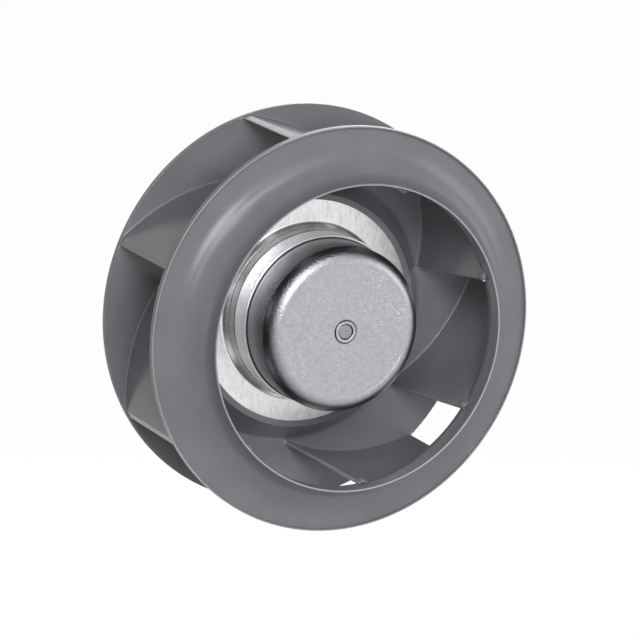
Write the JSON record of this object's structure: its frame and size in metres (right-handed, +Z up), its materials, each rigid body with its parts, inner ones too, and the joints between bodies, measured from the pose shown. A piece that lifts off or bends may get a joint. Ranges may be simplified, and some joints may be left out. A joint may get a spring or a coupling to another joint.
{
  "type": "plug fan",
  "caption": "Motorised centrifugal impeller: backward-curved blades between a back disc and a flared shroud, driven by an external-rotor motor in its hub.",
  "frame": {"origin": "centre of the stator flange's rear mounting face, on the axis of rotation", "axes": "+Y along the axis, out of the mounting face; the air inlet faces -Y; +Z up"},
  "size_m": [0.2212, 0.0978, 0.2212],
  "materials": {
    "shroud_plastic": "moulded dark grey plastic",
    "impeller_plastic": "moulded dark grey plastic",
    "galvanised_steel": "bright galvanised sheet",
    "rotor_steel": "galvanised deep-drawn sheet",
    "shaft_steel": "ground",
    "bearing_steel": "polished",
    "spring_steel": "hardened spring strip",
    "cast_aluminium": "die-cast, as cast",
    "cage_aluminium": "pressure cast",
    "lamination_steel": "stamped laminations",
    "insulator_plastic": "moulded, natural colour",
    "liner_paper": "insulating paper",
    "wedge_laminate": "laminate strip",
    "winding_copper": "enamelled copper wire",
    "cutout_case": "moulded case",
    "grommet_rubber": "moulded rubber"
  },
  "bodies": {
    "stator": {"stator_flange": "cast_aluminium", "front_bearing_outer_race": "bearing_steel", "rear_bearing_outer_race": "bearing_steel", "preload_washer": "spring_steel", "bearing_cap": "galvanised_steel", "stator_core": "lamination_steel", "front_insulator": "insulator_plastic", "rear_insulator": "insulator_plastic", "slot_liners": "liner_paper", "slot_wedges": "wedge_laminate", "main_winding": "winding_copper", "auxiliary_winding": "winding_copper", "thermal_cutout": "cutout_case", "cable_grommet": "grommet_rubber"},
    "rotor": {"rotor_can": "rotor_steel", "hub_ring": "galvanised_steel", "impeller_base": "impeller_plastic", "shroud_ring": "shroud_plastic", "rotor_core": "lamination_steel", "squirrel_cage": "cage_aluminium", "shaft": "shaft_steel", "shaft_circlip": "spring_steel", "shaft_spacer": "shaft_steel", "front_bearing_inner_race": "bearing_steel", "rear_bearing_inner_race": "bearing_steel"},
    "front_ball_set": {"front_bearing_balls": "bearing_steel", "front_bearing_cage": "spring_steel"},
    "rear_ball_set": {"rear_bearing_balls": "bearing_steel", "rear_bearing_cage": "spring_steel"}
  },
  "joints": [
    {"name": "rotor_spin", "type": "hinge", "parent": "stator", "child": "rotor", "pos_m": [0, -0.035, 0], "axis": [0, 1, 0], "continuous": true},
    {"name": "front_balls_spin", "type": "hinge", "parent": "stator", "child": "front_ball_set", "pos_m": [0, -0.062, 0], "axis": [0, 1, 0], "continuous": true},
    {"name": "rear_balls_spin", "type": "hinge", "parent": "stator", "child": "rear_ball_set", "pos_m": [0, -0.0077, 0], "axis": [0, 1, 0], "continuous": true}
  ],
  "couplings": [
    {"joint": "front_balls_spin", "follows": "rotor_spin", "ratio": 0.368},
    {"joint": "rear_balls_spin", "follows": "rotor_spin", "ratio": 0.368}
  ]
}
